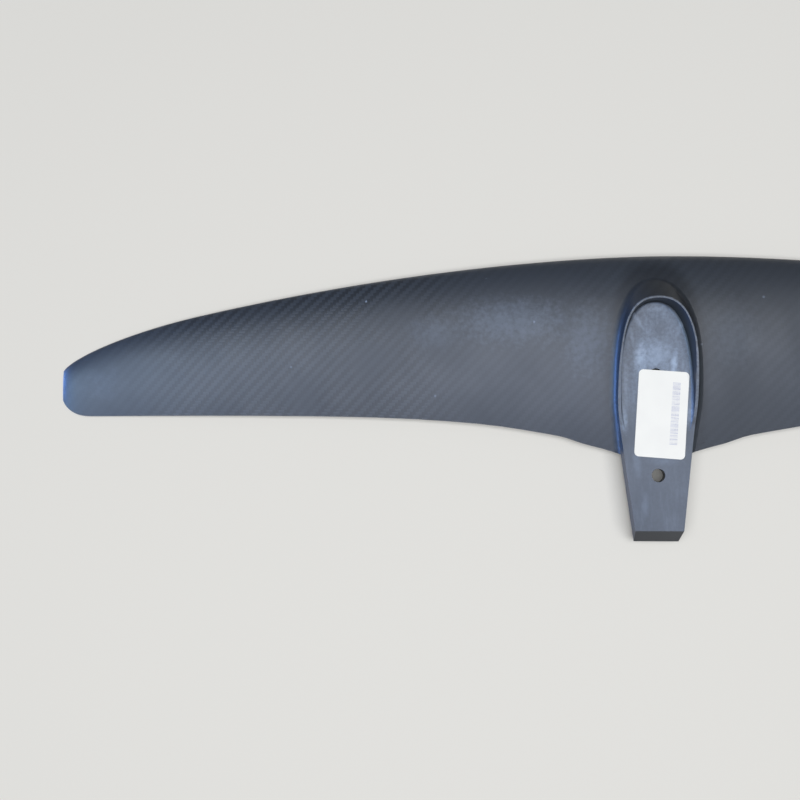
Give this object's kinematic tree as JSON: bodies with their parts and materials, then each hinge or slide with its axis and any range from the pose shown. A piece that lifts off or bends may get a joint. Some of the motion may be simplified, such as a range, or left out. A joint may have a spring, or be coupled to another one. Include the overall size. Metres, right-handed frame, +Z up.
{
  "type": "hydrofoil front wing",
  "caption": "Moulded carbon hydrofoil front wing with swept tapered tips, a raised pocket that takes the fuselage's nose, and a flat rear tongue with countersunk bolt holes",
  "frame": {"origin": "on the fuselage seat, midway between the two bolt holes", "axes": "X along the span, +Y forward towards the leading edge, +Z up, out of the seat"},
  "size_m": [0.8484, 0.1969, 0.0298],
  "materials": {
    "carbon": "satin carbon fibre laminate",
    "label_paper": "coated label paper"
  },
  "bodies": {
    "root": {"front_wing": "carbon", "seat_label": "label_paper"}
  },
  "joints": []
}
